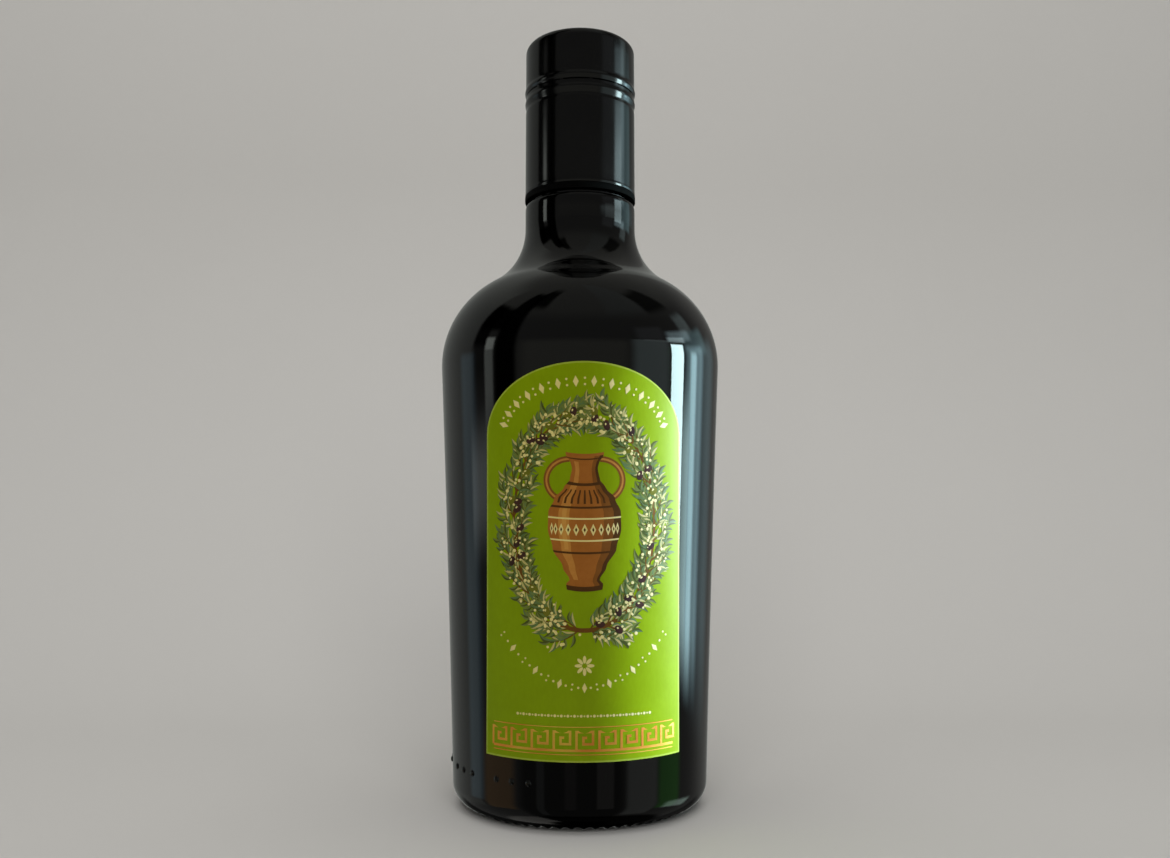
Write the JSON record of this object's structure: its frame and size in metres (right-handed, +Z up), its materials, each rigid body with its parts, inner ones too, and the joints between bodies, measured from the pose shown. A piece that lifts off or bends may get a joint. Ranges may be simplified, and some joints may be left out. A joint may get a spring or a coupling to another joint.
{
  "type": "olive oil bottle",
  "caption": "Round-shouldered dark glass bottle of olive oil, closed, with a black tear-off metal capsule and an arched lime green front label.",
  "frame": {"origin": "middle of the ring that the bottle stands on, at table height", "axes": "+Z up along the bottle's axis towards the cap; -Y is the side with the front label"},
  "size_m": [0.0786, 0.0789, 0.2155],
  "materials": {
    "dark_glass": "gloss",
    "oil": "gloss",
    "black_lacquer": "gloss",
    "label_paper": "semi-gloss"
  },
  "bodies": {
    "root": {"bottle_glass": "dark_glass", "olive_oil": "oil", "screw_cap": "black_lacquer", "cap_sleeve": "black_lacquer", "front_label": "label_paper"}
  },
  "joints": []
}
